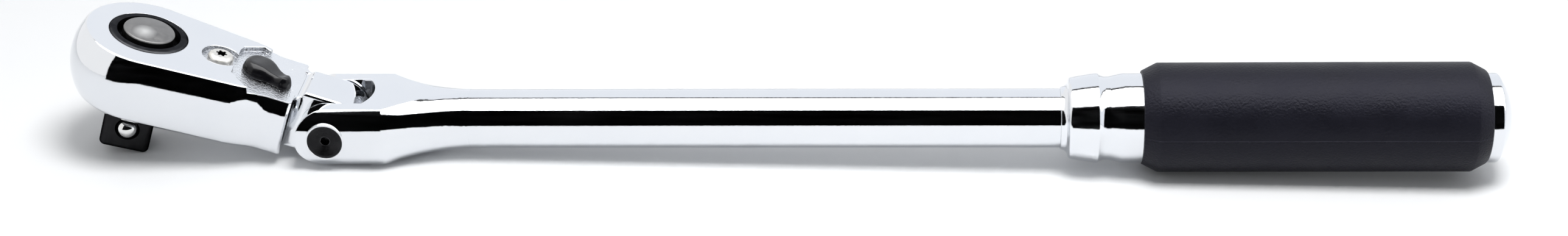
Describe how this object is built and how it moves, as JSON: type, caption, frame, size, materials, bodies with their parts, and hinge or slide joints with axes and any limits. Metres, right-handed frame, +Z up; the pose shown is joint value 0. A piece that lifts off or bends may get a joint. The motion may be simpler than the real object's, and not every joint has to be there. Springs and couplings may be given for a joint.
{
  "type": "ratchet wrench",
  "caption": "Long ratchet wrench with a square drive, a head that flexes on a pin, a push-button socket release, a reversing lever and a black grip.",
  "frame": {"origin": "centre of the bounding box, on the surface that the tool lies on", "axes": "+X along the handle from the drive end to the grip, +Z up from the surface, +Y across the tool, away from the side with the detent ball"},
  "size_m": [0.277, 0.0272, 0.0277],
  "materials": {
    "polished_chrome": "polished chrome plate over forged steel",
    "black_grip": "fine matt moulded plastic",
    "black_oxide": "satin black oxide",
    "black_lever": "gloss black coating on a casting",
    "grey_button": "satin dark grey",
    "bright_steel": "bright machined steel",
    "spring_steel": "drawn spring wire and stamped plate",
    "seal_rubber": "matt nitrile rubber"
  },
  "bodies": {
    "handle": {"handle_bar": "polished_chrome", "collar": "polished_chrome", "grip": "black_grip", "end_cap": "polished_chrome", "flex_pin": "black_oxide", "flex_nut": "black_oxide", "flex_plunger": "bright_steel", "flex_spring": "spring_steel"},
    "head": {"head_body": "polished_chrome", "pawl_screw": "bright_steel", "retainer_plate": "spring_steel", "snap_ring": "spring_steel", "friction_washer": "spring_steel", "lever_seal": "seal_rubber"},
    "drive": {"drive_gear": "black_oxide", "button_spring": "spring_steel"},
    "button": {"release_button": "grey_button"},
    "ball": {"detent_ball": "bright_steel"},
    "lever": {"reverse_lever": "black_lever", "pawl_spring": "spring_steel"},
    "plunger": {"pawl_plunger": "bright_steel"},
    "pawl": {"pawl": "black_oxide"}
  },
  "joints": [
    {"name": "head_flex", "type": "hinge", "parent": "handle", "child": "head", "pos_m": [-0.08829, 0, 0.00657], "axis": [0, 1, 0], "range_deg": [-109.2, 70.8]},
    {"name": "drive_spin", "type": "hinge", "parent": "head", "child": "drive", "pos_m": [-0.1249, 0, 0.01832], "axis": [0.3056, 0, 0.9522], "continuous": true},
    {"name": "button_press", "type": "slide", "parent": "drive", "child": "button", "axis": [-0.3056, 0, -0.9522], "range_m": [0, 0.0024], "stiffness_N_per_m": 3000, "springref_m": -0.001, "deforming": ["button_spring"]},
    {"name": "ball_retract", "type": "slide", "parent": "drive", "child": "ball", "axis": [-0.1653, 0.9848, 0.0531], "range_m": [0, 0.0012]},
    {"name": "lever_turn", "type": "hinge", "parent": "head", "child": "lever", "pos_m": [-0.10381, 0, 0.01155], "axis": [0.3056, 0, 0.9522], "range_deg": [0, 56]},
    {"name": "pawl_rock", "type": "hinge", "parent": "head", "child": "pawl", "pos_m": [-0.11124, 0, 0.01393], "axis": [0.3056, 0, 0.9522], "range_deg": [-12, 0]},
    {"name": "plunger_press", "type": "slide", "parent": "lever", "child": "plunger", "axis": [0.8407, -0.4695, -0.2698], "range_m": [0, 0.0006], "stiffness_N_per_m": 400, "springref_m": -0.001, "deforming": ["pawl_spring"]}
  ],
  "couplings": [
    {"joint": "ball_retract", "follows": "button_press", "ratio": 0.5},
    {"joint": "pawl_rock", "follows": "lever_turn", "ratio": -0.21429}
  ]
}
